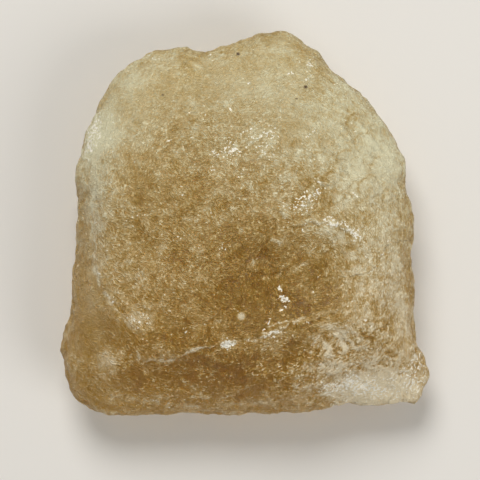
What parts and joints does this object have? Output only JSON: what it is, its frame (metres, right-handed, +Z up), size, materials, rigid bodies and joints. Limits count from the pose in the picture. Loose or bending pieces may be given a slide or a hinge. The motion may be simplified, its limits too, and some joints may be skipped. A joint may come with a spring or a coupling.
{
  "type": "raw desert glass stone",
  "caption": "Raw lump of translucent honey-yellow natural glass with a wind-worn, pitted and scooped surface, lying on its flatter side.",
  "frame": {"origin": "on the resting face, under the middle of the stone's outline seen from above", "axes": "+Z up through the stone's thickness, +Y along its longest side towards its narrower end"},
  "size_m": [0.0584, 0.061, 0.0211],
  "materials": {
    "desert_glass": "frosted"
  },
  "bodies": {
    "root": {"desert_glass": "desert_glass"}
  },
  "joints": []
}
